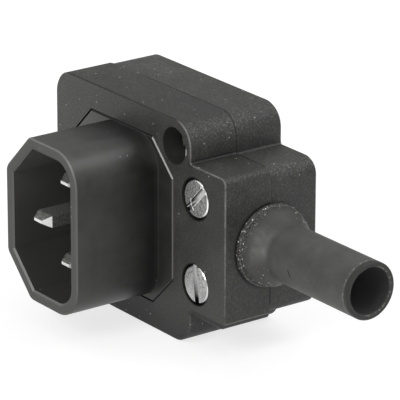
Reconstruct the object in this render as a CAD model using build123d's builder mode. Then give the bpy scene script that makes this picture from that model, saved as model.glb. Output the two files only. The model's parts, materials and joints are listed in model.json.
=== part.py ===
from build123d import *
import os
from math import sqrt

os.makedirs("parts", exist_ok=True)

# Right-angled earthed plug for a cord that is wired by its user, in millimetres.
# The plug's axis runs along Y and its mouth faces -Y. The cord leaves along +X. Z is up.
# The origin is on the plug's axis, in the plane of the housing's front face.

# Mouth and shroud
recess_width = 16.5
recess_height = 24.5
recess_cut = 5.65  # corners cut off on the earth side
recess_round = 3.8  # corners rounded on the live side
shroud_wall = 1.9
shroud_length = 16.1
cut_round = 1.8  # outside, at both ends of each cut
rim_ease = 0.25  # rim's outer edge
mouth_lead = 0.3  # rim's inner edge
floor_thickness = 3.7  # behind the recess

# Pins
pin_width = 4.0
pin_thickness = 2.0
live_spacing = 14.0  # line pin to neutral pin
pin_stagger = 4.0  # live pins to the earth pin, sideways
earth_setback = 0.7  # tip behind the rim
live_setback = 3.3
tip_length = 1.5
tip_width = 2.1
tip_thickness = 0.5
slot_clearance = 0.05  # round each pin in the insert

# Terminals
barrier_thickness = 1.0
post_clearance = 0.35  # post to barrier
post_width = 6.4
wire_way = 3.0  # square way for the wire
way_floor = 0.9
thread_length = 2.1
terminal_shank = 1.45  # radius
terminal_head = 2.5  # radius
terminal_head_height = 1.9
terminal_head_gap = 0.5  # head above its post
terminal_slot = 0.8
thread_clearance = 0.05
guard_thickness = 0.35
guard_clearance = 0.05
guard_lip = 1.6

# Insert
flange_margin = 0.15  # face plate beyond the shroud
flange_proud = 0.1
flange_bevel = 0.2
shoulder_ledge = 1.4  # behind the housing's front wall
shoulder_thickness = 2.4
window_gap = 0.2

# Housing
wall = 2.0
face_border = 4.7  # face plate to the body's side
body_corner = 4.15
front_ease = 0.2  # edge round the front face
rear_ease = 0.4  # edge round the rear face
seam_ease = 0.2  # front shell's edge at the parting plane
rear_inset = 0.25  # step from the front shell in to the rear cover
rear_play = 0.15  # depth to spare behind the sleeve's collar
block_round = 1.2
rear_block_round = 2.8  # the rear cover's block is rounder
join_round = 0.4  # where the block meets the body
join_spare = 0.1  # flat side left between that and the body's corner
cavity_round = 0.8
press_rib_width = 8.0
press_rib_lap = 0.3  # over the face plate's edge

# Housing screws
housing_head = 2.75  # radius
housing_head_height = 2.0
housing_head_ease = 0.3
housing_shank = 1.5  # radius
head_clearance = 0.35
shank_clearance = 0.2
well_side_wall = 1.25  # well to the body's side
well_top_wall = 1.5  # well to the body's top
boss_wall = 1.05
boss_clearance = 0.15  # to the insert
boss_floor = 3.8  # under the screw's head
screw_reach = 6.0  # past the parting plane
screw_hole_spare = 0.5  # beyond the screw's end

# Cord and bend sleeve
bore_radius = 3.9
cable_drop = 0.4  # cord's axis, with the block and clamp round it, below the plug's axis
neck_wall = 1.7
neck_clearance = 0.05
collar_lip = 1.3
collar_thickness = 1.9
collar_space = 0.3
dome_lip = 1.1
dome_length = 5.8
dome_run = 0.9  # level run at each end of its slope, before the rounding
dome_round = 2.5  # between the slope and the level runs
foot_thickness = 0.9  # ring round the dome's foot
foot_step = 0.25  # from the ring in to the dome
foot_ease = 0.2
tube_wall = 0.9
sleeve_length = 25.4
end_ease = 0.25

# Cord clamp
clamp_play = 0.2  # groove over the cord
clamp_web = 1.6  # groove to the screw's hole
clamp_gap = 1.4  # each jaw to the parting plane
clamp_width = 5.8
clamp_back = 1.6  # behind the groove
clamp_out = 1.4  # screws beyond the body's side
clamp_side_play = 0.5
clamp_ridge = 0.5
ridge_width = 0.8
collar_gap = 0.9
clamp_head = 3.3  # radius
clamp_head_height = 2.1
clamp_head_ease = 0.3
clamp_head_gap = 0.2
clamp_head_sunk = 0.1
clamp_shank = 1.5  # radius
clamp_hole_play = 0.15
clamp_slot = 1.1
clamp_slot_depth = 0.5
upper_slot_turn = 45.0
lower_slot_turn = 98.0
nut_size = 5.5
nut_thickness = 1.8
nut_play = 0.1
nut_cover = 0.6  # bar behind the nut

# Sizes that follow
root2 = sqrt(2)
flange_size = recess_height + 2 * shroud_wall + 2 * flange_margin
body_size = flange_size + 2 * face_border
body_half = body_size / 2
access_radius = housing_head + head_clearance
boss_radius = access_radius + boss_wall
screw_x = body_half - well_side_wall - access_radius
screw_z = body_half - well_top_wall - access_radius
flange_cut = flange_size - screw_x - screw_z + root2 * (boss_radius + boss_clearance)
shoulder_size = flange_size + 2 * shoulder_ledge
shoulder_cut = flange_cut + 2 * shoulder_ledge
insert_back = wall + shoulder_thickness
floor_front = insert_back - floor_thickness
neck_radius = bore_radius + neck_wall
collar_radius = neck_radius + collar_lip
dome_radius = neck_radius + dome_lip
tube_radius = bore_radius + tube_wall
parting = wall + collar_space + collar_radius
body_depth = 2 * parting + rear_inset + rear_play
access_depth = parting - boss_floor
groove_radius = bore_radius + clamp_play
clamp_hole = clamp_shank + clamp_hole_play
clamp_x = body_half + clamp_out
clamp_z = groove_radius + clamp_web + clamp_hole  # screws to the cord's axis
clamp_half = clamp_z + nut_size / 2
block_half = clamp_half + clamp_side_play + rear_inset + wall
collar_end = clamp_x + clamp_width / 2 + collar_gap + collar_thickness
block_end = collar_end + wall + rear_inset
clamp_front = parting + clamp_gap
clamp_rear = parting + groove_radius + clamp_back
nut_front = clamp_rear - nut_cover - nut_thickness - nut_play
post_height = live_spacing / 2 - barrier_thickness - 2 * post_clearance
post_depth = way_floor + wire_way + thread_length
way_axis = insert_back + way_floor + wire_way / 2
way_top = insert_back + way_floor + wire_way
post_top = insert_back + post_depth
live_x = pin_stagger / 2
live_z = live_spacing / 2
screw_places = [(screw_x, screw_z), (-screw_x, -screw_z)]
clamp_places = [(clamp_x, clamp_z - cable_drop), (clamp_x, -clamp_z - cable_drop)]
pins = [
    ("line", live_x, live_z, live_setback - shroud_length),
    ("neutral", live_x, -live_z, live_setback - shroud_length),
    ("earth", -live_x, 0, earth_setback - shroud_length),
]
pin_places = [(x, z) for name, x, z, tip in pins]


def face_plane(depth):
    """A plane this far behind the housing's front face. It faces forwards: local x is X, local y is Z."""
    return Plane.XZ.offset(-depth)


def housing_outline(plane, inset, body_corner, block_corner):
    """The housing from the front, moved in by inset: the square body and the block for the cord."""
    with BuildSketch(plane) as outline:
        RectangleRounded(body_size - 2 * inset, body_size - 2 * inset, body_corner)
        with Locations(((block_end - inset) / 2, -cable_drop)):
            RectangleRounded(block_end - inset, 2 * (block_half - inset), block_corner)
        join_height = block_half - inset
        join_places = [(body_half - inset, side * join_height - cable_drop) for side in (1, -1)]
        side_left = body_half - inset - body_corner - join_height - cable_drop
        join_radius = min(join_round, side_left - join_spare)
        fillet([outline.vertices().sort_by_distance(place)[0] for place in join_places], join_radius)
    return outline.sketch


def octagon(plane, size, cut):
    """A square with its four corners cut off."""
    with BuildSketch(plane) as outline:
        Rectangle(size, size)
        chamfer(outline.vertices(), cut)
    return outline.sketch


def mouth_outline(plane, grow, cut_corner):
    """The recess from the front, grown by a wall: two corners cut on the earth side, two rounded."""
    with BuildSketch(plane) as outline:
        Rectangle(recess_width + 2 * grow, recess_height + 2 * grow)
        chamfer(outline.vertices().group_by(Axis.X)[0], recess_cut + grow * (2 - root2))
        if cut_corner > 0:
            fillet(outline.vertices().sort_by(Axis.X)[:4], cut_corner)
        fillet(outline.vertices().group_by(Axis.X)[-1], recess_round + grow)
    return outline.sketch


cord_plane = Plane(origin=(0, parting, -cable_drop), x_dir=(1, 0, 0), z_dir=(0, -1, 0))
cord_axis = Axis((0, parting, -cable_drop), (1, 0, 0))


def across_cord(x):
    """A plane square to the cord at x, centred on the cord's axis."""
    return Plane(origin=(x, parting, -cable_drop), x_dir=(0, 1, 0), z_dir=(1, 0, 0))


# Front shell: hollow box with the eight-sided window, two screw wells and the fixed jaw of the clamp
with BuildPart() as front_shell:
    extrude(housing_outline(face_plane(0), 0, body_corner, block_round), amount=-parting)
    chamfer(front_shell.faces().sort_by(Axis.Y)[0].edges(), front_ease)
    chamfer(front_shell.faces().sort_by(Axis.Y)[-1].edges(), seam_ease)
    with BuildSketch(face_plane(wall)):
        add(housing_outline(face_plane(0), wall, body_corner - wall, cavity_round))
        with Locations(*screw_places):
            Circle(boss_radius, mode=Mode.SUBTRACT)
    extrude(amount=-(parting - wall), mode=Mode.SUBTRACT)
    with BuildSketch(face_plane(wall)):
        with Locations((clamp_x, -cable_drop)):
            Rectangle(clamp_width, 2 * (block_half - wall))
    extrude(amount=-(parting - clamp_gap - wall))
    extrude(
        octagon(face_plane(0), flange_size + 2 * window_gap, flange_cut + window_gap * (2 - root2)),
        amount=-wall,
        mode=Mode.SUBTRACT,
    )
    with BuildSketch(face_plane(0)):
        with Locations(*screw_places):
            Circle(access_radius)
    extrude(amount=-access_depth, mode=Mode.SUBTRACT)
    with BuildSketch(face_plane(access_depth)):
        with Locations(*screw_places):
            Circle(housing_shank + shank_clearance)
    extrude(amount=-boss_floor, mode=Mode.SUBTRACT)
    with BuildSketch(face_plane(0)):
        with Locations(*clamp_places):
            Circle(clamp_head + clamp_head_gap)
    extrude(amount=-(clamp_head_sunk + clamp_head_height), mode=Mode.SUBTRACT)
    with BuildSketch(face_plane(0)):
        with Locations(*clamp_places):
            Circle(clamp_hole)
    extrude(amount=-parting, mode=Mode.SUBTRACT)
    with BuildSketch(across_cord(clamp_x - clamp_width)):
        Circle(groove_radius)
    extrude(amount=2 * clamp_width, mode=Mode.SUBTRACT)
    with BuildSketch(across_cord(block_end - wall)):
        Circle(neck_radius + neck_clearance)
    extrude(amount=2 * wall, mode=Mode.SUBTRACT)
front_shell.part.label = "front_shell"
export_step(front_shell.part, "parts/front_shell.step")

# Rear cover: hollow lid with the two screw posts and three ribs that hold the insert against the front wall
with BuildPart() as rear_cover:
    extrude(
        housing_outline(face_plane(parting), rear_inset, body_corner - rear_inset, rear_block_round),
        amount=-(body_depth - parting),
    )
    chamfer(rear_cover.faces().sort_by(Axis.Y)[-1].edges(), rear_ease)
    with BuildSketch(face_plane(parting)):
        add(housing_outline(face_plane(0), wall + rear_inset, body_corner - wall, cavity_round))
        with Locations(*screw_places):
            Circle(boss_radius - rear_inset, mode=Mode.SUBTRACT)
    extrude(amount=-(body_depth - parting - wall), mode=Mode.SUBTRACT)
    rib_outer = body_half - rear_inset - wall
    rib_inner = flange_size / 2 - press_rib_lap
    with BuildSketch(face_plane(insert_back)):
        with Locations((0, (rib_outer + rib_inner) / 2), (0, -(rib_outer + rib_inner) / 2)):
            Rectangle(press_rib_width, rib_outer - rib_inner)
        with Locations((-(rib_outer + rib_inner) / 2, 0)):
            Rectangle(rib_outer - rib_inner, press_rib_width)
    extrude(amount=-(body_depth - wall - insert_back))
    with BuildSketch(face_plane(parting)):
        with Locations(*screw_places):
            Circle(housing_shank + thread_clearance)
    extrude(amount=-(screw_reach + screw_hole_spare), mode=Mode.SUBTRACT)
    with BuildSketch(across_cord(block_end - wall - rear_inset)):
        Circle(neck_radius + neck_clearance)
    extrude(amount=2 * wall, mode=Mode.SUBTRACT)
rear_cover.part.label = "rear_cover"
export_step(rear_cover.part, "parts/rear_cover.step")

# Contact insert: face plate, shroud, recess floor and the barriers between the terminals
with BuildPart() as contact_insert:
    extrude(octagon(face_plane(-flange_proud), flange_size, flange_cut), amount=-(flange_proud + insert_back))
    chamfer(contact_insert.faces().sort_by(Axis.Y)[0].edges(), flange_bevel)
    extrude(octagon(face_plane(wall), shoulder_size, shoulder_cut), amount=-shoulder_thickness)
    extrude(mouth_outline(face_plane(0), shroud_wall, cut_round), amount=shroud_length)
    chamfer(contact_insert.faces().sort_by(Axis.Y)[0].edges(), rim_ease)
    extrude(mouth_outline(face_plane(-shroud_length), 0, 0), amount=-(shroud_length + floor_front), mode=Mode.SUBTRACT)
    chamfer(contact_insert.faces().sort_by(Axis.Y)[0].inner_wires()[0].edges(), mouth_lead)
    with BuildSketch(face_plane(floor_front)):
        with Locations(*pin_places):
            Rectangle(pin_width + 2 * slot_clearance, pin_thickness + 2 * slot_clearance)
    extrude(amount=-floor_thickness, mode=Mode.SUBTRACT)
    barrier_step = post_height / 2 + post_clearance + barrier_thickness / 2
    barrier_places = [(0, live_z + barrier_step), (0, barrier_step), (0, -barrier_step), (0, -live_z - barrier_step)]
    with BuildSketch(face_plane(insert_back)):
        with Locations(*barrier_places):
            Rectangle(recess_width, barrier_thickness)
    extrude(amount=-(post_depth - thread_length / 2))
contact_insert.part.label = "contact_insert"
export_step(contact_insert.part, "parts/contact_insert.step")

# Pins: a flat blade with a bevelled tip, and a bored post for the wire behind the insert
for name, x, z, tip in pins:
    with BuildPart() as pin:
        with BuildSketch(face_plane(tip + tip_length)):
            with Locations((x, z)):
                Rectangle(pin_width, pin_thickness)
        extrude(amount=-(insert_back - tip - tip_length))
        with BuildSketch(face_plane(tip + tip_length)):
            with Locations((x, z)):
                Rectangle(pin_width, pin_thickness)
        with BuildSketch(face_plane(tip)):
            with Locations((x, z)):
                Rectangle(tip_width, tip_thickness)
        loft()
        with BuildSketch(face_plane(insert_back)):
            with Locations((x, z)):
                Rectangle(post_width, post_height)
        extrude(amount=-post_depth)
        with BuildSketch(Plane.YZ.offset(x - post_width)):
            with Locations((way_axis, z)):
                Rectangle(wire_way, wire_way)
        extrude(amount=2 * post_width, mode=Mode.SUBTRACT)
        with BuildSketch(face_plane(post_top)):
            with Locations((x, z)):
                Circle(terminal_shank + thread_clearance)
        extrude(amount=thread_length, mode=Mode.SUBTRACT)
    pin.part.label = name + "_pin"
    export_step(pin.part, "parts/" + name + "_pin.step")

# Wire guards: a thin leaf under each terminal screw, its end bent up outside the post
for name, x, z, tip in pins:
    with BuildPart() as guard:
        leaf_front = way_top - guard_clearance - guard_thickness
        leaf_start = x - post_width / 2 - guard_clearance - guard_thickness
        with BuildSketch(Plane.XY.offset(z - wire_way / 2 + 2 * guard_clearance)):
            with BuildLine():
                Polyline(
                    (leaf_start, leaf_front),
                    (x + post_width / 2, leaf_front),
                    (x + post_width / 2, leaf_front + guard_thickness),
                    (leaf_start + guard_thickness, leaf_front + guard_thickness),
                    (leaf_start + guard_thickness, leaf_front + guard_thickness + guard_lip),
                    (leaf_start, leaf_front + guard_thickness + guard_lip),
                    close=True,
                )
            make_face()
        extrude(amount=wire_way - 4 * guard_clearance)
    guard.part.label = name + "_wire_guard"
    export_step(guard.part, "parts/" + name + "_wire_guard.step")

# Terminal screws: three alike, heads to the rear
with BuildPart() as terminal_screws:
    with BuildSketch(face_plane(way_top)):
        with Locations(*pin_places):
            Circle(terminal_shank)
    extrude(amount=-(thread_length + terminal_head_gap))
    with BuildSketch(face_plane(post_top + terminal_head_gap)):
        with Locations(*pin_places):
            Circle(terminal_head)
    extrude(amount=-terminal_head_height)
    with BuildSketch(face_plane(post_top + terminal_head_gap + terminal_head_height)):
        with Locations(*pin_places):
            Rectangle(3 * terminal_head, terminal_slot)
    extrude(amount=terminal_head_height / 2, mode=Mode.SUBTRACT)
terminal_screws.part.label = "terminal_screws"
export_step(terminal_screws.part, "parts/terminal_screws.step")

# Housing screws: heads at the bottom of the two wells, shanks in the rear cover's posts
with BuildPart() as housing_screws:
    with BuildSketch(face_plane(access_depth - housing_head_height)):
        with Locations(*screw_places):
            Circle(housing_head)
    extrude(amount=-housing_head_height)
    chamfer(housing_screws.faces().group_by(Axis.Y)[0].edges(), housing_head_ease)
    with BuildSketch(face_plane(access_depth)):
        with Locations(*screw_places):
            Circle(housing_shank)
    extrude(amount=-(boss_floor + screw_reach))
    with BuildSketch(face_plane(access_depth - housing_head_height)):
        with Locations(*screw_places):
            Rectangle(3 * housing_head, clamp_slot, rotation=45)
    extrude(amount=-housing_head_height / 2, mode=Mode.SUBTRACT)
housing_screws.part.label = "housing_screws"
export_step(housing_screws.part, "parts/housing_screws.step")

# Clamp screws: slotted heads just below the front face, shanks through the clamp into its nuts
with BuildPart() as clamp_screws:
    with BuildSketch(face_plane(clamp_head_sunk)):
        with Locations(*clamp_places):
            Circle(clamp_head)
    extrude(amount=-clamp_head_height)
    chamfer(clamp_screws.faces().group_by(Axis.Y)[0].edges(), clamp_head_ease)
    with BuildSketch(face_plane(clamp_head_sunk + clamp_head_height)):
        with Locations(*clamp_places):
            Circle(clamp_shank)
    extrude(amount=-(clamp_rear - clamp_head_sunk - clamp_head_height))
    with BuildSketch(face_plane(clamp_head_sunk)):
        with Locations(clamp_places[0]):
            Rectangle(3 * clamp_head, clamp_slot, rotation=upper_slot_turn)
        with Locations(clamp_places[1]):
            Rectangle(3 * clamp_head, clamp_slot, rotation=lower_slot_turn)
    extrude(amount=-clamp_slot_depth, mode=Mode.SUBTRACT)
clamp_screws.part.label = "clamp_screws"
export_step(clamp_screws.part, "parts/clamp_screws.step")

# Cable clamp: a bar with a ridged groove for the cord and a slot for a nut at each end
with BuildPart() as cable_clamp:
    with BuildSketch(face_plane(clamp_front)):
        with Locations((clamp_x, -cable_drop)):
            Rectangle(clamp_width, 2 * clamp_half)
    extrude(amount=-(clamp_rear - clamp_front))
    with BuildSketch(across_cord(clamp_x - clamp_width)):
        Circle(groove_radius - clamp_ridge)
    extrude(amount=2 * clamp_width, mode=Mode.SUBTRACT)
    band = (clamp_width - ridge_width) / 2
    for start in (0, band + ridge_width):
        with BuildSketch(across_cord(clamp_x - clamp_width / 2 + start)):
            Circle(groove_radius)
        extrude(amount=band, mode=Mode.SUBTRACT)
    with BuildSketch(face_plane(clamp_front)):
        with Locations(*clamp_places):
            Circle(clamp_hole)
    extrude(amount=-(clamp_rear - clamp_front), mode=Mode.SUBTRACT)
    with BuildSketch(face_plane(nut_front)):
        with Locations(*clamp_places):
            Rectangle(nut_size + 2 * nut_play, nut_size + 2 * nut_play)
    extrude(amount=-(nut_thickness + nut_play), mode=Mode.SUBTRACT)
cable_clamp.part.label = "cable_clamp"
export_step(cable_clamp.part, "parts/cable_clamp.step")

# Clamp nuts: square, in the bar's end slots
with BuildPart() as clamp_nuts:
    with BuildSketch(face_plane(nut_front)):
        with Locations(*clamp_places):
            Rectangle(nut_size, nut_size)
        with Locations(*clamp_places):
            Circle(clamp_shank + thread_clearance, mode=Mode.SUBTRACT)
    extrude(amount=-nut_thickness)
clamp_nuts.part.label = "clamp_nuts"
export_step(clamp_nuts.part, "parts/clamp_nuts.step")

# Bend sleeve: a collar held inside the block, a ring and a domed shoulder against it, and a plain tube
with BuildPart() as bend_sleeve:
    collar_start = collar_end - collar_thickness
    sleeve_end = block_end + sleeve_length
    dome_end = block_end + dome_length
    foot_end = block_end + foot_thickness
    foot_radius = dome_radius + foot_step
    bends = [(foot_end + dome_run, dome_radius), (dome_end - dome_run, tube_radius)]
    with BuildSketch(cord_plane) as sleeve_profile:
        with BuildLine():
            Polyline(
                (foot_end, dome_radius),
                (foot_end, foot_radius - foot_ease),
                (foot_end - foot_ease, foot_radius),
                (block_end, foot_radius),
                (block_end, neck_radius),
                (collar_end, neck_radius),
                (collar_end, collar_radius),
                (collar_start, collar_radius),
                (collar_start, bore_radius),
                (sleeve_end, bore_radius),
                (sleeve_end, tube_radius),
                bends[1],
                bends[0],
                close=True,
            )
        make_face()
        fillet([sleeve_profile.vertices().sort_by_distance(place)[0] for place in bends], dome_round)
    revolve(axis=cord_axis)
    chamfer(bend_sleeve.faces().sort_by(Axis.X)[-1].edges(), end_ease)
bend_sleeve.part.label = "bend_sleeve"
export_step(bend_sleeve.part, "parts/bend_sleeve.step")
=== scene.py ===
import bpy
import json
import math
from collections import namedtuple
from mathutils import Matrix, Vector


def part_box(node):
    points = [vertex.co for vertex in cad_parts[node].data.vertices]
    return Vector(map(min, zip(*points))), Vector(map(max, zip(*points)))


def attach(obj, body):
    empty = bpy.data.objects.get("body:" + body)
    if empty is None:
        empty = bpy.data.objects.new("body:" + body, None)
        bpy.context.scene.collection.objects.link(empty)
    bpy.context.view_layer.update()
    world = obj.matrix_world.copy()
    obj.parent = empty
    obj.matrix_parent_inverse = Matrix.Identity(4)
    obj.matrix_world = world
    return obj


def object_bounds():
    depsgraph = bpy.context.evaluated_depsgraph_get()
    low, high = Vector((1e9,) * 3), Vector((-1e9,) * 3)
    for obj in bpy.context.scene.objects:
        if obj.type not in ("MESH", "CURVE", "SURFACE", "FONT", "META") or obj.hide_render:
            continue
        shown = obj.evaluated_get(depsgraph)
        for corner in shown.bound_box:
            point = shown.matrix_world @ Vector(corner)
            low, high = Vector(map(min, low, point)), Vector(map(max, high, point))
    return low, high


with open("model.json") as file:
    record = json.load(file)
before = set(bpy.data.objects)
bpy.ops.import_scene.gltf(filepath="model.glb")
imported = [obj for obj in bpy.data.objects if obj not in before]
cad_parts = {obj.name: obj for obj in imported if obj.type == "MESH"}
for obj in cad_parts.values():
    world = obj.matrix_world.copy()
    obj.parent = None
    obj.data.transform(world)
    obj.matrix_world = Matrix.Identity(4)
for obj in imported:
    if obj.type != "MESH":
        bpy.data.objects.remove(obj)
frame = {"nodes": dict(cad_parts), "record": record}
cad_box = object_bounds()
nodes = frame["nodes"]

MM = 0.001

# Camera: where it stands round the plug, and what it looks at
AZIMUTH = 53.456
ELEVATION = 19.926
ROLL = 0.190
TARGET = Vector((21.628, 0.0, 7.208)) * MM
DISTANCE = 550.49 * MM
FOCAL_PIXELS = 3446.7
FRAME_PIXELS = 400
SENSOR = 36.0
CLIP_NEAR = 0.01
CLIP_FAR = 100.0

# Studio
FLOOR_SIZE = 8.0
FLOOR_GREY = 0.80  # for the light that it sends up to the plug
SHADOW_GREY = 0.34  # for the camera, which sees its glow too
FLOOR_GLOW = 0.75
HORIZON_HEIGHT = 0.30  # sine of the elevation
ZENITH_HEIGHT = 0.80
HORIZON_LIGHT = 0.30
ZENITH_LIGHT = 0.95
LAMP_REACH = 0.9
COOL_LIGHT = (0.97, 0.99, 1.0)
WARM_LIGHT = (1.0, 0.99, 0.97)
WHITE = (1.0, 1.0, 1.0, 1.0)

# Places on the plug that the frame gives, in metres
cable_entry = next(mount for mount in frame["record"]["mounts"] if mount["name"] == "cable_entry")
shell_low, shell_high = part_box("front_shell")
clamp_low, clamp_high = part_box("clamp_screws")
CORD_AXIS = Vector(cable_entry["pos_m"])
BORE_RADIUS = cable_entry["dims"]["r_mm"] * MM
BODY_SIDE = -shell_low.x
BLOCK_END = shell_high.x
SEAM_Y = shell_high.y
SLEEVE_END = cad_box[1].x
RIM_Y = cad_box[0].y
FOOT_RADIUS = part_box("bend_sleeve")[1].z - CORD_AXIS.z

# Sizes that the frame doesn't give, in metres, and places worked out from them
BLOCK_HALF = 12.85 * MM
BLOCK_TOP = CORD_AXIS.z + BLOCK_HALF
BLOCK_BOTTOM = CORD_AXIS.z - BLOCK_HALF
BLOCK_JOINS = (Vector((BODY_SIDE, 0, BLOCK_TOP)), Vector((BODY_SIDE, 0, BLOCK_BOTTOM)))
CLAMP_SPREAD = 7.35 * MM
CLAMP_X = (clamp_low.x + clamp_high.x) / 2
CLAMP_HEAD = (clamp_high.x - clamp_low.x) / 2
RECESS_GAP = 0.2 * MM
RECESS_RADIUS = CLAMP_HEAD + RECESS_GAP
UPPER_SCREW = Vector((CLAMP_X, clamp_low.y, CORD_AXIS.z + CLAMP_SPREAD))
LOWER_SCREW = Vector((CLAMP_X, clamp_low.y, CORD_AXIS.z - CLAMP_SPREAD))
UPPER_SLOT_TURN = math.radians(45.0)
WELL_HEAD = 2.75 * MM  # radius of the screw's head in the well
WELL_CLEARANCE = 0.35 * MM
WELL_RADIUS = WELL_HEAD + WELL_CLEARANCE
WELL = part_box("housing_screws")[1] - Vector((WELL_HEAD, 0, WELL_HEAD))
MOUTH_HALF_WIDTH = 8.25 * MM
MOUTH_HALF_HEIGHT = 12.25 * MM
MOUTH_CUT = 5.65 * MM  # corners cut off on the earth side
MOUTH_CUT_LINE = MOUTH_HALF_WIDTH + MOUTH_HALF_HEIGHT - MOUTH_CUT  # height less x all along a cut
MOUTH_ROUND = 3.8 * MM  # corners rounded on the live side
SHROUD_WALL = 1.9 * MM
SHROUD_ROUND = MOUTH_ROUND + SHROUD_WALL
SHROUD_ROUND_X = MOUTH_HALF_WIDTH - MOUTH_ROUND
SHROUD_ROUND_Z = MOUTH_HALF_HEIGHT - MOUTH_ROUND

# Ranges in metres over which one look turns into the next: first those that several pieces use
UPPER_HALF = (-1 * MM, 1 * MM)
FRONT_HALF = (SEAM_Y - 0.5 * MM, SEAM_Y)

# Housing
PARTING_STEP = 0.3 * MM  # further back on top than at the sides, and further forward underneath
PARTING_GAP = (SEAM_Y - 0.14 * MM, SEAM_Y + 0.12 * MM)
PARTING_SOFT = 0.08 * MM
PARTING_LEFT = (-10 * MM, -4 * MM)
PARTING_END = (BLOCK_END - 0.6 * MM, BLOCK_END - 0.3 * MM)
PARTING_DEPTH = 4.0  # times the grain's height
BLOCK_START = (BODY_SIDE + 0.2 * MM, BODY_SIDE + 0.6 * MM)
BLOCK_BACK = (SEAM_Y - 0.5 * MM, SEAM_Y - 0.2 * MM)
BLOCK_FACE = (BLOCK_END - 0.2 * MM, BLOCK_END)
# painted shade in the crevice round the sleeve's foot
CREVICE = (5 * MM, FOOT_RADIUS + 0.25 * MM)
CREVICE_SOFT = 0.35 * MM
# painted shade in the corners between body and block
JOIN_CORNER = (0.35 * MM, 0.70 * MM)
JOIN_REACH = (0.6 * MM, 5.0 * MM)
# painted shade in the recesses round the clamp screws
RECESS_SHADE_RING = (RECESS_RADIUS + 0.08 * MM, RECESS_RADIUS + 0.26 * MM)
RECESS_BACK = (3 * MM, 4 * MM)
WELL_WALL = (WELL_RADIUS, WELL_RADIUS + 0.1 * MM)
WELL_BACK = (12 * MM, 13 * MM)
GLINT_RIM = (WELL_RADIUS - 0.05 * MM, WELL_RADIUS + 0.20 * MM)
GLINT_RIM_SOFT = 0.05 * MM
GLINT_HEIGHT = (WELL.z - 0.7 * MM, WELL.z + 0.2 * MM)
GLINT_HEIGHT_SOFT = 0.2 * MM
GLINT_SIDE = (WELL.x, WELL.x + 1 * MM)
# painted light across this width, lighter on the left, and painted shade at the face's foot over the next
# height
PAINTED_LIGHT_WIDTH = (-16 * MM, 8 * MM)
FACE_FOOT = (-18 * MM, -12 * MM)
# painted highlights on edges, fading lower down over this height; painted shade at the block's lower edge
# and a painted highlight in a line above it
EDGE_HIGHLIGHT_HEIGHT = (BLOCK_BOTTOM, 8 * MM)
LOWER_EDGE = (BLOCK_BOTTOM + 0.85 * MM, BLOCK_BOTTOM + 0.95 * MM)
LOWER_LINE = (BLOCK_BOTTOM + 1.00 * MM, BLOCK_BOTTOM + 1.15 * MM)
LOWER_LINE_SOFT = 0.08 * MM

# Contact insert
FLANGE_FACE = (-0.8 * MM, -0.6 * MM)
BASE_LINE = (SHROUD_ROUND + 0.14 * MM, SHROUD_ROUND + 0.32 * MM)
BASE_LINE_SOFT = 0.06 * MM
UPPER_PART = (0.0, 10 * MM)
# painted shade towards the shroud's root on its live side, painted light on its earth side
ROOT_DEPTH = (-9 * MM, -2 * MM)
ROOT_WIDTH = (-9 * MM, -3 * MM)
ROOT_LEAD = 2.5 * MM  # how much sooner the shroud's top darkens
MOUTH_START = (RIM_Y + 0.3 * MM, RIM_Y + 0.6 * MM)
MOUTH_DEPTH = (-14 * MM, -1 * MM)
MOUTH_SOFT = 0.1 * MM

# Bend sleeve
FOOT_END = (BLOCK_END + 1.2 * MM, BLOCK_END + 2.0 * MM)
DOME_END = (BLOCK_END + 4 * MM, BLOCK_END + 6 * MM)
# painted shade on the dome and a painted highlight on its front
DOME_SHADE = (BLOCK_END + 4.5 * MM, BLOCK_END + 6.5 * MM)
CRESCENT = (BLOCK_END + 3.1 * MM, BLOCK_END + 4.5 * MM)
CRESCENT_SOFT = 0.9 * MM
# painted shade on the rounded end, painted highlights where it starts and at the bore's lip, painted light
# in the bore
DARK_END = (SLEEVE_END - 0.85 * MM, SLEEVE_END - 0.70 * MM)
END_LINE = (SLEEVE_END - 1.15 * MM, SLEEVE_END - 0.90 * MM)
END_LINE_SOFT = 0.1 * MM
LIP_RING = (BORE_RADIUS, BORE_RADIUS + 0.22 * MM)
LIP_SOFT = 0.06 * MM
BORE_WALL = (BORE_RADIUS, BORE_RADIUS + 0.1 * MM)
BORE_DEPTH = (SLEEVE_END - 9 * MM, SLEEVE_END - 1 * MM)
NICK_PLACE = (39.2 * MM, 4.5 * MM, -1.0 * MM)
NICK_TURN = (0.0, math.radians(-24.0), 0.0)
NICK_WIDTH = (-0.10 * MM, 0.10 * MM)
NICK_WIDTH_SOFT = 0.06 * MM
NICK_LENGTH = (-0.5 * MM, 0.5 * MM)
NICK_LENGTH_SOFT = 0.3 * MM
NICK_SIDE = (SEAM_Y - 1 * MM, SEAM_Y)
NICK_DEPTH = 4.0  # times the grain's height

# Clamp screws
LOWER_CLEAN = (LOWER_SCREW.z - 1.0 * MM, LOWER_SCREW.z + 2.2 * MM)
# painted shade that darkens the lower head towards the right
LOWER_SHADE_SPAN = (LOWER_SCREW.x - 1.5 * MM, LOWER_SCREW.x + 2.5 * MM)
SLOT_SCRAPED = (UPPER_SCREW.x - 1.5 * MM, UPPER_SCREW.x + 0.3 * MM)
SLOT_DARK_FOOT = (LOWER_SCREW.z - 2.5 * MM, LOWER_SCREW.z - 1.7 * MM)
SLOT_FLOOR = (UPPER_SCREW.y + 0.35 * MM, UPPER_SCREW.y + 0.45 * MM)
SLOT_LIGHT_Z = -2.5 * MM  # height at which the slots' walls are lightest
SLOT_SHADOW = (4.0 * MM, 8.0 * MM)
BURR_RADIUS = 0.06 * MM
FINE_BURR_RADIUS = 0.04 * MM
HOOK_RADIUS = 0.16 * MM
BEVEL_STEPS = 2

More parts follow.
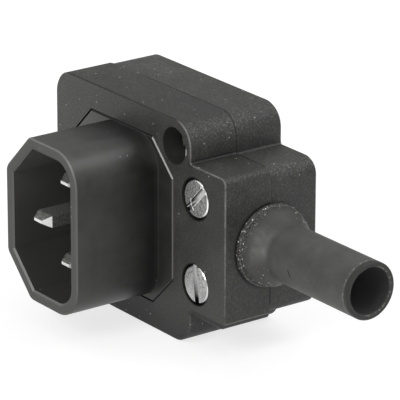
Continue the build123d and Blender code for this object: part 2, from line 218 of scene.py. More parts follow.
# Noise: the size of its features in metres, its octaves, and how strong the small ones are
HOUSING_GRAIN = (0.30 * MM, 3.0, 0.65)
HOUSING_CLOUD = (5.0 * MM, 2.0, 0.5)
EDGE_PATCHES = (3.0 * MM, 2.0, 0.5)
INSERT_GRAIN = (0.35 * MM, 2.0, 0.5)
INSERT_CLOUD = (4.0 * MM, 3.0, 0.5)
RUBBER_GRAIN = (0.3 * MM, 3.0, 0.6)
RUBBER_CLOUD = (3.0 * MM, 3.0, 0.6)
CRESCENT_PATCHES = (1.2 * MM, 3.0, 0.7)
GRIT_GRAIN = (0.22 * MM, 2.0, 0.7)
LIP_PATCHES = (0.5 * MM, 2.0, 0.5)
CLAMP_STAIN = (0.30 * MM, 3.0, 0.75)
PLATING_STAIN = (0.35 * MM, 3.0, 0.7)
NICKEL_STAIN = (0.25 * MM, 3.0, 0.75)
METAL_SCRATCH = (0.15 * MM, 3.0, 0.6)
SCRAPE_GRAIN = (0.12 * MM, 2.0, 0.6)

# Depth of relief, in metres
HOUSING_RELIEF = 0.05 * MM
INSERT_RELIEF = 0.010 * MM
RUBBER_RELIEF = 0.014 * MM
ZINC_RELIEF = 0.012 * MM
FINE_RELIEF = 0.004 * MM
SCRAPE_RELIEF = 0.006 * MM

# Specks: spacing in metres, the share of cells that have one, and radius over spacing
HOUSING_SPECKS = (1.0 * MM, 0.16, 0.14)
INSERT_SPECKS = (1.1 * MM, 0.10, 0.12)
FOOT_SPECKS = (0.55 * MM, 0.45, 0.28)
REAR_SPECKS = (0.50 * MM, 0.4, 0.36)
SPECK_CORE = 0.5  # share of a speck's radius that is fully covered
SHARP = 0.001  # width of a step

# Ramps from noise to a level of grey
HOUSING_RAMP = ((0.32, 0.022), (0.52, 0.044), (0.72, 0.125))
INSERT_RAMP = ((0.3, 0.022), (0.7, 0.038))
RUBBER_RAMP = ((0.3, 0.052), (0.7, 0.074))
GRIT_RAMP = ((0.42, 0.006), (0.60, 0.14))
CLAMP_RAMP = ((0.38, 0.22), (0.47, 0.70), (0.55, 0.97))
NICKEL_RAMP = ((0.38, 0.24), (0.60, 0.92))
SCRAPE_RAMP = ((0.35, 0.72), (0.55, 0.95))
STAIN_START = 0.38
STAIN_END = 0.58
NOISE_RANGE = (0.3, 0.7)
NOISE_MEAN = 0.5
WELL_GRAIN = 0.45  # in place of the noise, in the smooth wells

# Levels of grey
# painted shade in the parting gap, round the sleeve's foot and in the clamp screws' recesses
HOUSING_PAINTED_SHADE = 0.004
# painted shade and painted highlights on eased edges
HOUSING_EDGE_SHADE = 0.008
HOUSING_EDGE_HIGHLIGHT = 0.20
# dust specks, and the painted glint on the upper well's rim
HOUSING_DUST_AND_GLINT = 0.45
# painted shade in the deep wells
WELL_SHADE_GREY = 0.024
# painted shade in the gap round the face plate
INSERT_GAP_SHADE = 0.003
INSERT_BASE = 0.060
# painted light on the mouth's walls
INSERT_MOUTH = 0.070
# painted highlights on the rim and on the face plate's upper right edges
INSERT_RIM_HIGHLIGHT = 0.15
INSERT_CORNER_HIGHLIGHT = 0.34
INSERT_DUST = 0.32
# painted shade in the cut
RUBBER_NICK_SHADE = 0.003
# painted shade on the sleeve's end and painted highlights at its edges
RUBBER_END_SHADE = 0.024
RUBBER_EDGE_HIGHLIGHT = 0.16
RUBBER_FLECK = 0.80
ZINC_GREY = 0.80
STEEL_GREY = 0.62
# worn nickel with a painted highlight at the pins' tips
PIN_TIP_GREY = 0.80
METAL_EDGE = 0.95

# How much less blue than red and green a grey has
WARM_TINT = 0.05
METAL_TINT = 0.02
NO_TINT = 0.0

# How strongly plastic and rubber reflect
SPECULAR = 0.45

# How far an eased edge is turned to the front or the back
EDGE_TILT = (0.5, 0.9)
EDGE_SOFT = 0.05

# The parts of a place that count for its distance from a line along X or along Y
ROUND_X = Vector((0, 1, 1))
ROUND_Y = Vector((1, 0, 1))

# Where a point lies, in metres, and which way its surface faces: right, back and up are the parts of its
# direction along X, Y and Z, 1 or -1 on a face square to the axis and between them on edges and corners
Surface = namedtuple("Surface", "place x y z right back up")


def grey(level, tint=WARM_TINT):
    """An opaque grey with a little less blue."""
    return (level, level, level * (1 - tint), 1.0)


# Shader nodes


def node(tree, kind, inputs, **settings):
    """A shader node with its settings and inputs; an input is a value or the socket that feeds it."""
    made = tree.nodes.new("ShaderNode" + kind)
    for name, value in settings.items():
        setattr(made, name, value)
    for name, value in inputs.items():
        if isinstance(value, bpy.types.NodeSocket):
            tree.links.new(value, made.inputs[name])
        else:
            made.inputs[name].default_value = value
    return made


def math_node(tree, operation, first, second=0.0):
    """One operation on two numbers."""
    return node(tree, "Math", {0: first, 1: second}, operation=operation).outputs[0]


def joined(tree, operation, values):
    """Several numbers joined by one operation."""
    total = values[0]
    for value in values[1:]:
        total = math_node(tree, operation, total, value)
    return total


def times(tree, *factors):
    """The product of several numbers."""
    return joined(tree, "MULTIPLY", factors)


def plus(tree, *terms):
    """The sum of several numbers."""
    return joined(tree, "ADD", terms)


def minus(tree, first, second):
    """The first number less the second."""
    return math_node(tree, "SUBTRACT", first, second)


def largest(tree, *values):
    """The largest of several numbers."""
    return joined(tree, "MAXIMUM", values)


def size_of(tree, value):
    """A number without its sign."""
    return math_node(tree, "ABSOLUTE", value)


def span(tree, value, low, high, to_low, to_high):
    """value from low to high, mapped to to_low to to_high and held there outside."""
    inputs = {"Value": value, "From Min": low, "From Max": high, "To Min": to_low, "To Max": to_high}
    return node(tree, "MapRange", inputs).outputs["Result"]


def rise(tree, value, low, high):
    """0 below low and 1 above high."""
    return span(tree, value, low, high, 0.0, 1.0)


def fall(tree, value, low, high):
    """1 below low and 0 above high."""
    return span(tree, value, low, high, 1.0, 0.0)


def faded(tree, share, least=0.0):
    """1 where share is 0, down to least where it is 1."""
    return span(tree, share, 0.0, 1.0, 1.0, least)


def band(tree, value, low, high, soft):
    """1 between low and high, fading to 0 over soft outside them."""
    return times(tree, rise(tree, value, low - soft, low), fall(tree, value, high, high + soft))


def ramp(tree, factor, stops, tint=WARM_TINT):
    """A ramp of greys over factor, with stops as (factor, level)."""
    made = node(tree, "ValToRGB", {"Fac": factor})
    elements = made.color_ramp.elements
    while len(elements) < len(stops):
        elements.new(0.5)
    for element, (position, level) in zip(elements, stops):
        element.position = position
        element.color = grey(level, tint)
    return made.outputs["Color"]


def mix(tree, share, first, second):
    """first, turning to second as share goes from 0 to 1."""
    return node(tree, "MixRGB", {"Fac": share, "Color1": first, "Color2": second}).outputs["Color"]


def shade(tree, colour, factor):
    """A colour made darker or lighter by a factor."""
    return node(tree, "VectorMath", {0: colour, "Scale": factor}, operation="SCALE").outputs["Vector"]


def grey_of(tree, level):
    """A neutral grey of a level that varies."""
    return shade(tree, WHITE[:3], level)


def axes(tree, vector):
    """The three parts of a vector."""
    return node(tree, "SeparateXYZ", {"Vector": vector}).outputs


def distance(tree, place, across, point):
    """Distance from a line through point; across is ROUND_X or ROUND_Y."""
    spread = node(tree, "VectorMath", {0: place, 1: across}, operation="MULTIPLY").outputs["Vector"]
    return node(tree, "VectorMath", {0: spread, 1: across * point}, operation="DISTANCE").outputs["Value"]


def noise(tree, place, size, detail, roughness):
    """Noise with features of about this size, in metres."""
    inputs = {"Vector": place, "Scale": 1 / size, "Detail": detail, "Roughness": roughness}
    return node(tree, "TexNoise", inputs).outputs["Fac"]


def specks(tree, place, spacing, share, reach):
    """Small dots: a share of the cells of this spacing has one, of a radius of reach times the spacing."""
    cells = node(tree, "TexVoronoi", {"Vector": place, "Scale": 1 / spacing})
    dot = fall(tree, cells.outputs["Distance"], SPECK_CORE * reach, reach)
    drawn = node(tree, "SeparateColor", {"Color": cells.outputs["Color"]}).outputs["Red"]
    return times(tree, dot, rise(tree, drawn, 1 - share, 1 - share + SHARP))


def bump(tree, height, depth):
    """A normal from a height of 0 to 1, depth metres from low to high."""
    return node(tree, "Bump", {"Height": height, "Distance": depth}).outputs["Normal"]


# Materials


def material(name):
    """A new material, its tree, its shader and its Surface."""
    made = bpy.data.materials.new(name)
    made.use_nodes = True
    tree = made.node_tree
    place = node(tree, "TexCoord", {}).outputs["Object"]
    direction = node(tree, "NewGeometry", {}).outputs["True Normal"]
    at = Surface(place, *axes(tree, place), *axes(tree, direction))
    return made, tree, tree.nodes["Principled BSDF"], at


def feed(tree, shader, **inputs):
    """Sets or links the shader's inputs, with _ for a space in a name."""
    for name, value in inputs.items():
        socket = shader.inputs[name.replace("_", " ")]
        if isinstance(value, bpy.types.NodeSocket):
            tree.links.new(value, socket)
        else:
            socket.default_value = value


def eased_edge(tree, at):
    """1 on the narrow eased edges between a face across Y and the faces along it."""
    return band(tree, size_of(tree, at.back), *EDGE_TILT, EDGE_SOFT)


def upper_half(tree, at):
    """1 above the plug's axis."""
    return rise(tree, at.z, *UPPER_HALF)


def front_half(tree, at):
    """1 in front of the parting line."""
    return fall(tree, at.y, *FRONT_HALF)


def nearest(tree, at, *points):
    """Distance from the nearest of the lines along Y through these points."""
    return joined(tree, "MINIMUM", [distance(tree, at.place, ROUND_Y, point) for point in points])


def around_cord(tree, at):
    """Distance from the cord's axis."""
    return distance(tree, at.place, ROUND_X, CORD_AXIS)


# Housing


def parting_line(tree, at):
    """1 in the gap between the housing's halves, where painted shade darkens it, faint on the left, on
    corners and above the sleeve.
    """
    stepped = minus(tree, at.y, times(tree, at.up, PARTING_STEP))
    line = band(tree, stepped, *PARTING_GAP, PARTING_SOFT)
    left = span(tree, at.x, *PARTING_LEFT, 0.25, 1.0)
    corner = span(tree, at.up, 0.90, 0.99, 0.55, 1.0)
    block_end = span(tree, at.x, *PARTING_END, 1.0, 0.1)
    closed = faded(tree, times(tree, corner, block_end))
    return times(tree, line, left, faded(tree, times(tree, upper_half(tree, at), closed)))


def foot_crevice_shade(tree, at):
    """1 on the block's end face in the narrow gap round the sleeve's foot, where painted shade darkens it.
    """
    ring = band(tree, around_cord(tree, at), *CREVICE, CREVICE_SOFT)
    return times(tree, ring, rise(tree, at.x, *BLOCK_FACE))


def join_shade(tree, at):
    """Painted shade in the inner corners between body and block: below 1 there, darkest on the front shell.
    """
    near = nearest(tree, at, *BLOCK_JOINS)
    corner = times(tree, span(tree, near, *JOIN_CORNER, 0.6, 0.0), front_half(tree, at))
    return times(tree, span(tree, near, *JOIN_REACH, 0.85, 1.0), faded(tree, corner))


def screw_recess_shade(tree, at):
    """1 in the recess round each clamp screw's head and on the recess's brim, where painted shade darkens
    them.
    """
    ring = fall(tree, nearest(tree, at, UPPER_SCREW, LOWER_SCREW), *RECESS_SHADE_RING)
    return times(tree, ring, fall(tree, at.y, *RECESS_BACK))


def screw_well(tree, at):
    """1 in the two deep wells of the housing's screws, which are smooth and painted dark as shade."""
    inside = fall(tree, nearest(tree, at, WELL, -WELL), *WELL_WALL)
    return times(tree, inside, fall(tree, at.y, *WELL_BACK))


def well_glint(tree, at):
    """1 on a short bright stretch of the upper well's rim, a painted glint."""
    rim = band(tree, nearest(tree, at, WELL), *GLINT_RIM, GLINT_RIM_SOFT)
    stretch = band(tree, at.z, *GLINT_HEIGHT, GLINT_HEIGHT_SOFT)
    return times(tree, rim, stretch, rise(tree, at.x, *GLINT_SIDE))


def block_front(tree, at):
    """1 on the front shell's half of the block."""
    return times(tree, rise(tree, at.x, *BLOCK_START), fall(tree, at.y, *BLOCK_BACK))


def housing_tone(tree, at, cloud):
    """How light the moulding is: painted light on the left, painted shade in the corners, on faces turned
    down, on the front shell's top and at the face's foot, and a random cloudy tone.
    """
    painted_light_and_tone = times(
        tree,
        span(tree, at.x, *PAINTED_LIGHT_WIDTH, 1.35, 0.95),
        span(tree, cloud, *NOISE_RANGE, 0.8, 1.2),
    )
    # painted shade on faces turned down, on the front shell's top and at the foot of the face
    below = span(tree, at.up, -0.5, -0.1, 0.2, 1.0)
    top = times(tree, rise(tree, at.up, 0.7, 0.9), front_half(tree, at))
    face_foot = times(tree, fall(tree, at.back, -0.9, -0.7), fall(tree, at.z, *FACE_FOOT))
    top_and_foot_shade = times(tree, faded(tree, top, 0.68), faded(tree, face_foot, 0.30))
    return times(tree, painted_light_and_tone, join_shade(tree, at), below, top_and_foot_shade)


def housing_edges(tree, at, plastic):
    """The moulding's colour with painted highlights on edges on the right and on the block, and painted
    shade on the other edges and at the block's lower edge.
    """
    edge = eased_edge(tree, at)
    block = block_front(tree, at)
    patchy = span(tree, noise(tree, at.place, *EDGE_PATCHES), 0.35, 0.65, 0.35, 1.0)
    painted_light_and_tone = span(tree, at.z, *EDGE_HIGHLIGHT_HEIGHT, 0.2, 1.0)
    right_edges = times(tree, edge, rise(tree, at.right, 0.0, 0.5), patchy, painted_light_and_tone)
    top_edge = times(tree, edge, block, patchy, span(tree, at.up, 0.2, 0.5, 0.0, 0.7))
    # a painted highlight in a line above the block's lower rounding, and painted shade on the rounding
    line = band(tree, at.z, *LOWER_LINE, LOWER_LINE_SOFT)
    low_line = times(tree, block, line, span(tree, at.right, 0.5, 0.9, 0.0, 0.7))
    edge_highlights = largest(tree, right_edges, top_edge, low_line)
    shaded_edges = times(tree, edge, span(tree, at.right, 0.0, 0.3, 0.7, 0.0), faded(tree, block))
    edge_shade = largest(tree, shaded_edges, times(tree, block, fall(tree, at.z, *LOWER_EDGE)))
    return mix(tree, edge_highlights, mix(tree, edge_shade, plastic, grey(HOUSING_EDGE_SHADE)), grey(HOUSING_EDGE_HIGHLIGHT))


def housing_grain(tree, at):
    """Spark-eroded grain, coarse on the rounded corners and finer on the flats."""
    flat = largest(tree, *(size_of(tree, part) for part in (at.right, at.back, at.up)))
    grain = minus(tree, noise(tree, at.place, *HOUSING_GRAIN), NOISE_MEAN)
    return plus(tree, times(tree, grain, span(tree, flat, 0.90, 0.99, 1.2, 0.7)), NOISE_MEAN)


def housing_plastic():
    """Dark grey moulding with a spark-eroded grain, painted highlights and shade on its edges, a parting
    line and wells painted dark as shade, painted light and shade on its faces, a painted glint, and dust.
    """
    made, tree, shader, at = material("housing_plastic")
    cloud = noise(tree, at.place, *HOUSING_CLOUD)
    well = screw_well(tree, at)
    parting = parting_line(tree, at)
    grain = mix(tree, well, housing_grain(tree, at), grey(WELL_GRAIN, NO_TINT))
    toned = shade(tree, ramp(tree, grain, HOUSING_RAMP), housing_tone(tree, at, cloud))
    # painted shade in the wells
    plastic = mix(tree, well, housing_edges(tree, at, toned), grey(WELL_SHADE_GREY))
    # dust specks, and a painted glint on the upper well's rim
    light = largest(tree, specks(tree, at.place, *HOUSING_SPECKS), well_glint(tree, at))
    # painted shade in the parting gap, in the crevice round the sleeve's foot and in the clamp screws'
    # recesses
    dark = largest(tree, parting, foot_crevice_shade(tree, at), screw_recess_shade(tree, at))
    feed(
        tree,
        shader,
        Base_Color=mix(tree, dark, mix(tree, light, plastic, grey(HOUSING_DUST_AND_GLINT)), grey(HOUSING_PAINTED_SHADE)),
        Roughness=span(tree, cloud, *NOISE_RANGE, 0.50, 0.60),
        Specular_IOR_Level=SPECULAR,
        Normal=bump(tree, minus(tree, grain, times(tree, parting, PARTING_DEPTH)), HOUSING_RELIEF),
    )
    return made


# Contact insert and cable clamp


def shroud_base(tree, at):
    """Up to 1 on a thin pale line on the face plate round the shroud's live side, fainter lower down."""
    beyond = largest(tree, minus(tree, at.x, SHROUD_ROUND_X), 0.0)
    above = largest(tree, minus(tree, size_of(tree, at.z), SHROUD_ROUND_Z), 0.0)
    corner = node(tree, "CombineXYZ", {"X": beyond, "Z": above}).outputs["Vector"]
    reach = node(tree, "VectorMath", {0: corner}, operation="LENGTH").outputs["Value"]
    line = band(tree, reach, *BASE_LINE, BASE_LINE_SOFT)
    return times(tree, line, span(tree, at.z, *UPPER_PART, 0.35, 1.0))


def insert_tone(tree, at, flange):
    """How light the insert is: near the shroud's root painted shade on the live side and painted light on
    the earth side, lighter on the face plate, with a painted sheen along the upper live corner.
    """
    depth = plus(tree, at.y, span(tree, at.up, 0.2, 0.9, 0.0, ROOT_LEAD))
    root = times(tree, rise(tree, depth, *ROOT_DEPTH), span(tree, at.x, *ROOT_WIDTH, -0.6, 1.0))
    sheen = times(tree, band(tree, at.up, 0.4, 0.8, 0.2), rise(tree, at.right, 0.1, 0.5))
    shaded = span(tree, root, -0.6, 1.0, 1.9, 0.45)
    return plus(tree, shaded, times(tree, flange, 0.35), times(tree, sheen, 0.4))


def mouth(tree, at):
    """1 on the walls and the floor of the mouth."""
    height = size_of(tree, at.z)
    return times(
        tree,
        fall(tree, size_of(tree, at.x), MOUTH_HALF_WIDTH, MOUTH_HALF_WIDTH + MOUTH_SOFT),
        fall(tree, height, MOUTH_HALF_HEIGHT, MOUTH_HALF_HEIGHT + MOUTH_SOFT),
        fall(tree, minus(tree, height, at.x), MOUTH_CUT_LINE, MOUTH_CUT_LINE + MOUTH_SOFT),
        rise(tree, at.y, *MOUTH_START),
    )


def mouth_painted_light(tree, at):
    """How light the mouth's walls are painted: painted light, lighter high up and deep inside, darker on
    walls turned up.
    """
    return times(
        tree,
        span(tree, at.z, *UPPER_PART, 0.95, 1.6),
        span(tree, at.y, *MOUTH_DEPTH, 0.92, 1.5),
        span(tree, at.up, 0.2, 0.6, 1.0, 0.7),
    )


def insert_edges(tree, at, flange, plastic):
    """The insert's colour with a painted highlight on the rim's edges and on the face plate's right edges,
    and painted shade in the gap along its other edges.
    """
    edge = eased_edge(tree, at)
    # painted highlights on the rim, stronger higher up, and on the face plate's right edges; painted shade
    # in the gap along its other edges
    rim = times(tree, edge, span(tree, at.up, -0.4, 0.4, 0.25, 1.0), faded(tree, flange))
    right = times(tree, rise(tree, at.right, 0.05, 0.3), rise(tree, at.up, -0.3, -0.1))
    corner = times(tree, edge, flange, right, span(tree, at.up, 0.1, 0.4, 0.25, 1.0))
    gap = times(tree, edge, flange, faded(tree, right))
    rimmed = mix(tree, rim, plastic, grey(INSERT_RIM_HIGHLIGHT))
    return mix(tree, gap, mix(tree, corner, rimmed, grey(INSERT_CORNER_HIGHLIGHT)), grey(INSERT_GAP_SHADE))


def insert_plastic():
    """Black satin moulding, smoother than the housing, with painted light in the mouth, painted highlights
    and shade on its edges, and dust specks.
    """
    made, tree, shader, at = material("insert_plastic")
    cloud = noise(tree, at.place, *INSERT_CLOUD)
    flange = rise(tree, at.y, *FLANGE_FACE)
    toned = shade(tree, ramp(tree, cloud, INSERT_RAMP), insert_tone(tree, at, flange))
    # painted light on the mouth's walls
    mouth_lit = shade(tree, grey(INSERT_MOUTH)[:3], mouth_painted_light(tree, at))
    lined = mix(tree, mouth(tree, at), toned, mouth_lit)
    based = mix(tree, times(tree, flange, shroud_base(tree, at)), lined, grey(INSERT_BASE))
    worn = insert_edges(tree, at, flange, based)
    feed(
        tree,
        shader,
        Base_Color=mix(tree, specks(tree, at.place, *INSERT_SPECKS), worn, grey(INSERT_DUST)),
        Roughness=span(tree, cloud, *NOISE_RANGE, 0.36, 0.46),
        Specular_IOR_Level=SPECULAR,
        Normal=bump(tree, noise(tree, at.place, *INSERT_GRAIN), INSERT_RELIEF),
    )
    return made


# Bend sleeve


def rubber_tone(tree, at):
    """How light the rubber is: painted shade on the dome, with a patchy painted highlight, a pale crescent,
    on its front.
    """
    dome = span(tree, at.x, *DOME_SHADE, 0.78, 1.0)
    crescent = band(tree, at.x, *CRESCENT, CRESCENT_SOFT)
    patchy = span(tree, noise(tree, at.place, *CRESCENT_PATCHES), 0.35, 0.6, 0.5, 1.1)
    ahead = times(tree, fall(tree, at.back, -0.85, -0.4), rise(tree, at.up, -0.25, 0.2))
    return plus(tree, dome, times(tree, crescent, patchy, ahead, 1.1))


def rubber_foot(tree, at, rubber):
    """The sleeve's colour with grit on its rough foot, and white flecks there and on the dome."""
    foot = fall(tree, at.x, *FOOT_END)
    dome = fall(tree, at.x, *DOME_END)
    grit = ramp(tree, noise(tree, at.place, *GRIT_GRAIN), GRIT_RAMP)
    lower = times(tree, span(tree, at.up, -0.6, -0.2, 0.8, 0.0), dome)
    behind = band(tree, at.back, 0.35, 0.70, 0.10)
    rear = times(tree, behind, span(tree, at.up, 0.15, 0.35, 0.0, 0.5), dome)
    flecks = largest(
        tree,
        times(tree, largest(tree, foot, lower), specks(tree, at.place, *FOOT_SPECKS)),
        times(tree, rear, specks(tree, at.place, *REAR_SPECKS)),
    )
    return mix(tree, flecks, mix(tree, foot, rubber, grit), grey(RUBBER_FLECK))


def rubber_end(tree, at, rubber):
    """The sleeve's colour with painted shade on its rounded end, a painted highlight broken into flecks
    where that starts and at the bore's lip, and painted light in the bore.
    """
    around = around_cord(tree, at)
    end = rise(tree, at.x, *DARK_END)
    outer = band(tree, at.x, *END_LINE, END_LINE_SOFT)
    lip = times(tree, band(tree, around, *LIP_RING, LIP_SOFT), end)
    broken = span(tree, noise(tree, at.place, *LIP_PATCHES), 0.50, 0.60, 0.1, 1.0)
    light = times(tree, largest(tree, outer, lip), broken)
    ring = mix(tree, light, mix(tree, end, rubber, grey(RUBBER_END_SHADE)), grey(RUBBER_EDGE_HIGHLIGHT))
    # painted light in the bore: lighter deeper in, darker near its mouth
    depth = span(tree, at.x, *BORE_DEPTH, 0.17, 0.05)
    return mix(tree, fall(tree, around, *BORE_WALL), ring, grey_of(tree, depth))


def rubber_nick(tree, at):
    """1 in a short cut in the front of the tube, painted dark as the shade in it."""
    inputs = {"Vector": at.place, "Location": NICK_PLACE, "Rotation": NICK_TURN}
    turned = axes(tree, node(tree, "Mapping", inputs, vector_type="TEXTURE").outputs["Vector"])
    width = band(tree, turned["X"], *NICK_WIDTH, NICK_WIDTH_SOFT)
    length = band(tree, turned["Z"], *NICK_LENGTH, NICK_LENGTH_SOFT)
    return times(tree, width, length, fall(tree, at.y, *NICK_SIDE))


def sleeve_rubber():
    """Dull grey rubber with painted shade and a painted highlight on the dome, a rough speckled foot, and
    painted shade on its rounded end.
    """
    made, tree, shader, at = material("sleeve_rubber")
    grain = noise(tree, at.place, *RUBBER_GRAIN)
    cloud = noise(tree, at.place, *RUBBER_CLOUD)
    toned = shade(tree, ramp(tree, cloud, RUBBER_RAMP), rubber_tone(tree, at))
    rubber = rubber_end(tree, at, rubber_foot(tree, at, toned))
    nick = rubber_nick(tree, at)
    feed(
        tree,
        shader,
        Base_Color=mix(tree, nick, rubber, grey(RUBBER_NICK_SHADE)),
        Roughness=span(tree, grain, *NOISE_RANGE, 0.50, 0.64),
        Specular_IOR_Level=SPECULAR,
        Normal=bump(tree, minus(tree, grain, times(tree, nick, NICK_DEPTH)), RUBBER_RELIEF),
    )
    return made


# Metal pieces


def clamp_head(tree, at, stain, upper):
    """The clamp screws' plating: stained on the upper head, cleaner and duller on the lower one, with
    painted shade darkening it towards the right.
    """
    plating = ramp(tree, stain, CLAMP_RAMP, METAL_TINT)
    clean = times(tree, span(tree, at.z, *LOWER_CLEAN, 0.8, 0.2), faded(tree, upper))
    return mix(tree, clean, plating, grey_of(tree, span(tree, at.x, *LOWER_SHADE_SPAN, 0.56, 0.34)))


def clamp_slot(tree, at, head, upper, scraped):
    """The clamp screws' colour with their slots: the upper scraped bright, the lower black at its foot."""
    # the lower slot's floor darker towards its foot
    dark_foot = span(tree, at.z, *SLOT_DARK_FOOT, 0.01, 0.90)
    floor = mix(tree, upper, grey_of(tree, dark_foot), grey_of(tree, scraped))
    floored = mix(tree, rise(tree, at.y, *SLOT_FLOOR), head, floor)
    shadow = span(tree, size_of(tree, minus(tree, at.z, SLOT_LIGHT_Z)), *SLOT_SHADOW, 0.6, 0.05)
    wall = fall(tree, size_of(tree, at.back), 0.2, 0.5)
    return mix(tree, wall, floored, grey_of(tree, shadow))


def clamp_zinc():
    """Stained zinc on the clamp screws, with bright edges and marked slots."""
    made, tree, shader, at = material("clamp_zinc")
    stain = noise(tree, at.place, *CLAMP_STAIN)
    upper = upper_half(tree, at)
    scraped = span(tree, at.x, *SLOT_SCRAPED, 0.35, 0.97)
    slotted = clamp_slot(tree, at, clamp_head(tree, at, stain, upper), upper, scraped)
    bare = times(tree, rise(tree, at.y, *SLOT_FLOOR), upper, scraped)
    edge = eased_edge(tree, at)
    feed(
        tree,
        shader,
        Base_Color=mix(tree, edge, slotted, grey_of(tree, span(tree, upper, 0.0, 1.0, 0.70, 0.97))),
        Metallic=span(tree, bare, 0.3, 0.9, 1.0, 0.3),
        Roughness=times(tree, span(tree, stain, *NOISE_RANGE, 0.50, 0.36), faded(tree, edge, 0.6)),
        Normal=bump(tree, noise(tree, at.place, *METAL_SCRATCH), ZINC_RELIEF),
    )
    return made


def plated_metal(name, level, tint, mottle, roughness, relief):
    """Plated metal with fine scratches and bright edges, its stains mottle times as light as the rest."""
    made, tree, shader, at = material(name)
    stain = noise(tree, at.place, *PLATING_STAIN)
    plating = ramp(tree, stain, ((STAIN_START, mottle * level), (STAIN_END, level)), tint)
    edge = eased_edge(tree, at)
    worn = span(tree, stain, *NOISE_RANGE, roughness + 0.12, roughness - 0.05)
    feed(
        tree,
        shader,
        Base_Color=mix(tree, edge, plating, grey(METAL_EDGE, METAL_TINT)),
        Metallic=1.0,
        Roughness=times(tree, worn, faded(tree, edge, 0.6)),
        Normal=bump(tree, noise(tree, at.place, *METAL_SCRATCH), relief),
    )
    return made


def pin_nickel():
    """Nickel on the pins: duller and stained along the blades, brighter at the tips except on facets turned
    up, worn nickel with a painted highlight.
    """
    made, tree, shader, at = material("nickel")
    # worn nickel and a painted highlight on the tips' facets, not on those turned up
    tip = times(tree, rise(tree, size_of(tree, at.back), 0.30, 0.42), fall(tree, at.up, 0.3, 0.6))
    stain = noise(tree, at.place, *NICKEL_STAIN)
    feed(
        tree,
        shader,
        Base_Color=mix(tree, tip, ramp(tree, stain, NICKEL_RAMP), grey(PIN_TIP_GREY, METAL_TINT)),
        Metallic=span(tree, tip, 0.0, 1.0, 0.86, 0.45),
        Roughness=span(tree, stain, *NOISE_RANGE, 0.38, 0.26),
        Normal=bump(tree, noise(tree, at.place, *METAL_SCRATCH), FINE_RELIEF),
    )
    return made


def scraped_zinc():
    """Bright bare zinc where a screwdriver slipped, with fine scrape marks."""
    made, tree, shader, at = material("scraped_zinc")
    scrape = noise(tree, at.place, *SCRAPE_GRAIN)
    feed(
        tree,
        shader,
        Base_Color=ramp(tree, scrape, SCRAPE_RAMP, METAL_TINT),
        Metallic=0.35,
        Roughness=span(tree, scrape, *NOISE_RANGE, 0.55, 0.40),
        Normal=bump(tree, scrape, SCRAPE_RELIEF),
    )
    return made


# Pieces


def paint(names, made):
    """Puts one material on CAD nodes."""
    for name in names:
        data = nodes[name].data
        data.materials.clear()
        data.materials.append(made)


def wire(name, points, radius, made):
    """A thin raised line through points."""
    data = bpy.data.curves.new(name, "CURVE")
    data.dimensions = "3D"
    data.bevel_depth = radius
    data.bevel_resolution = BEVEL_STEPS
    data.use_fill_caps = True
    line = data.splines.new("POLY")
    line.points.add(len(points) - 1)
    for place, point in zip(line.points, points):
        place.co = (*point, 1.0)
    data.materials.append(made)
    piece = bpy.data.objects.new(name, data)
    bpy.context.scene.collection.objects.link(piece)
    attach(piece, "root")


def burrs(made):
    """Burrs that a screwdriver raised along the upper clamp screw's slot, and two scratches at its end.

    Each point is its run along the slot, its offset across it and its height above the head, in mm.
    """
    along = Vector((math.cos(UPPER_SLOT_TURN), 0, math.sin(UPPER_SLOT_TURN)))
    across = Vector((-along.z, 0, along.x))
    out = Vector((0, -1, 0))
    upper_burr = [(-0.4, 0.58, 0.0), (0.6, 0.62, 0.03), (1.6, 0.58, 0.03), (2.6, 0.62, 0.05)]
    lower_burr = [(-1.4, -0.60, 0.0), (-0.4, -0.58, 0.03), (0.9, -0.62, 0.03), (2.9, -0.58, 0.04)]
    hook = [(2.6, 0.62, 0.04), (2.9, 0.70, 0.06), (3.1, 0.40, 0.04), (3.1, -0.10, 0.02)]
    long_scratch = [(-3.0, 0.25, 0.0), (-1.9, 0.1, 0.04), (-0.2, -0.20, 0.02)]
    cross_scratch = [(-1.2, 0.9, 0.0), (-1.7, 0.0, 0.04), (-1.9, -1.1, 0.0)]
    lines = {
        "slot_burr_upper": (FINE_BURR_RADIUS, upper_burr),
        "slot_burr_lower": (BURR_RADIUS, lower_burr),
        "slot_hook": (HOOK_RADIUS, hook),
        "scratch_long": (BURR_RADIUS, long_scratch),
        "scratch_cross": (BURR_RADIUS, cross_scratch),
    }
    for name, (radius, points) in lines.items():
        steps = [along * run + across * offset + out * height for run, offset, height in points]
        wire(name, [UPPER_SCREW + step * MM for step in steps], radius, made)


# Camera and studio


def make_camera():
    """A camera at AZIMUTH, ELEVATION and ROLL round the target."""
    turn, tilt, roll = (math.radians(angle) for angle in (AZIMUTH, ELEVATION, ROLL))
    back = Vector((math.sin(turn) * math.cos(tilt), -math.cos(turn) * math.cos(tilt), math.sin(tilt)))
    level = Vector((math.cos(turn), math.sin(turn), 0))
    upright = back.cross(level)
    right = level * math.cos(roll) + upright * math.sin(roll)
    up = upright * math.cos(roll) - level * math.sin(roll)
    camera = bpy.data.objects.new("camera", bpy.data.cameras.new("camera"))
    camera.data.sensor_width = SENSOR
    camera.data.lens = FOCAL_PIXELS / FRAME_PIXELS * SENSOR
    camera.data.clip_start = CLIP_NEAR
    camera.data.clip_end = CLIP_FAR
    facing = Matrix((right, up, back)).transposed().to_4x4()
    camera.matrix_world = Matrix.Translation(TARGET + back * DISTANCE) @ facing
    bpy.context.scene.collection.objects.link(camera)
    bpy.context.scene.camera = camera


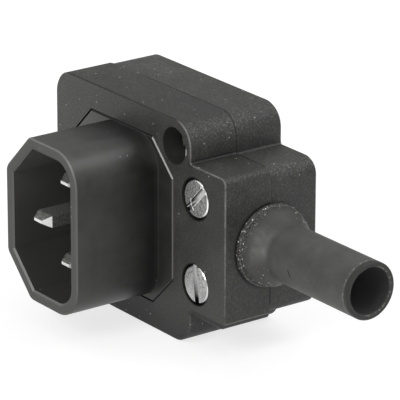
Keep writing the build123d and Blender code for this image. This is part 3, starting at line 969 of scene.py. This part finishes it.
def make_world():
    """Soft light from overhead that fades towards the horizon."""
    world = bpy.data.worlds.new("studio")
    world.use_nodes = True
    tree = world.node_tree
    height = axes(tree, node(tree, "TexCoord", {}).outputs["Generated"])["Z"]
    strength = span(tree, height, HORIZON_HEIGHT, ZENITH_HEIGHT, HORIZON_LIGHT, ZENITH_LIGHT)
    feed(tree, tree.nodes["Background"], Color=WHITE, Strength=strength)
    bpy.context.scene.world = world


def seen(tree):
    """1 for rays from the camera, off gloss or through clear matter, 0 for the rest."""
    path = node(tree, "LightPath", {}).outputs
    return largest(tree, path["Is Camera Ray"], path["Is Glossy Ray"], path["Is Transmission Ray"])


def make_floor():
    """Pale floor; what the camera and gloss see of it is near white, and keeps a light shadow."""
    bpy.ops.mesh.primitive_plane_add(size=FLOOR_SIZE, location=(0, 0, cad_box[0].z))
    floor = bpy.context.object
    floor.name = "floor"
    made = bpy.data.materials.new("pale_floor")
    made.use_nodes = True
    tree = made.node_tree
    tree.nodes.remove(tree.nodes["Principled BSDF"])
    paper = node(tree, "BsdfDiffuse", {"Color": grey(FLOOR_GREY, NO_TINT)})
    soft = node(tree, "BsdfDiffuse", {"Color": grey(SHADOW_GREY, NO_TINT)})
    glow = node(tree, "Emission", {"Color": WHITE, "Strength": FLOOR_GLOW})
    bright = node(tree, "AddShader", {0: soft.outputs[0], 1: glow.outputs[0]})
    both = node(tree, "MixShader", {"Fac": seen(tree), 1: paper.outputs[0], 2: bright.outputs[0]})
    tree.links.new(both.outputs[0], tree.nodes["Material Output"].inputs["Surface"])
    floor.data.materials.append(made)


def softbox(name, direction, size, brightness, colour):
    """A square lamp that faces the plug from this direction."""
    lamp = bpy.data.lights.new(name, "AREA")
    lamp.size = size
    lamp.energy = brightness * math.pi * size**2
    lamp.color = colour
    made = bpy.data.objects.new(name, lamp)
    made.location = TARGET + Vector(direction).normalized() * LAMP_REACH
    made.rotation_euler = (TARGET - made.location).to_track_quat("-Z", "Y").to_euler()
    bpy.context.scene.collection.objects.link(made)


make_camera()
make_world()
make_floor()
softbox("softbox_above", direction=(0.33, 0.56, 0.76), size=0.45, brightness=2.6, colour=COOL_LIGHT)
softbox("softbox_front", direction=(0.20, -0.78, 0.60), size=0.32, brightness=8.0, colour=WARM_LIGHT)

zinc = plated_metal("zinc", ZINC_GREY, METAL_TINT, mottle=0.45, roughness=0.42, relief=ZINC_RELIEF)
steel = plated_metal("spring_steel", STEEL_GREY, WARM_TINT, mottle=0.75, roughness=0.3, relief=FINE_RELIEF)
paint(["front_shell", "rear_cover"], housing_plastic())
paint(["contact_insert", "cable_clamp"], insert_plastic())
paint(["bend_sleeve"], sleeve_rubber())
paint(["line_pin", "neutral_pin", "earth_pin"], pin_nickel())
paint(["housing_screws", "terminal_screws", "clamp_nuts"], zinc)
paint(["clamp_screws"], clamp_zinc())
paint(["line_wire_guard", "neutral_wire_guard", "earth_wire_guard"], steel)
burrs(scraped_zinc())

bpy.context.scene.view_settings.view_transform = "Standard"
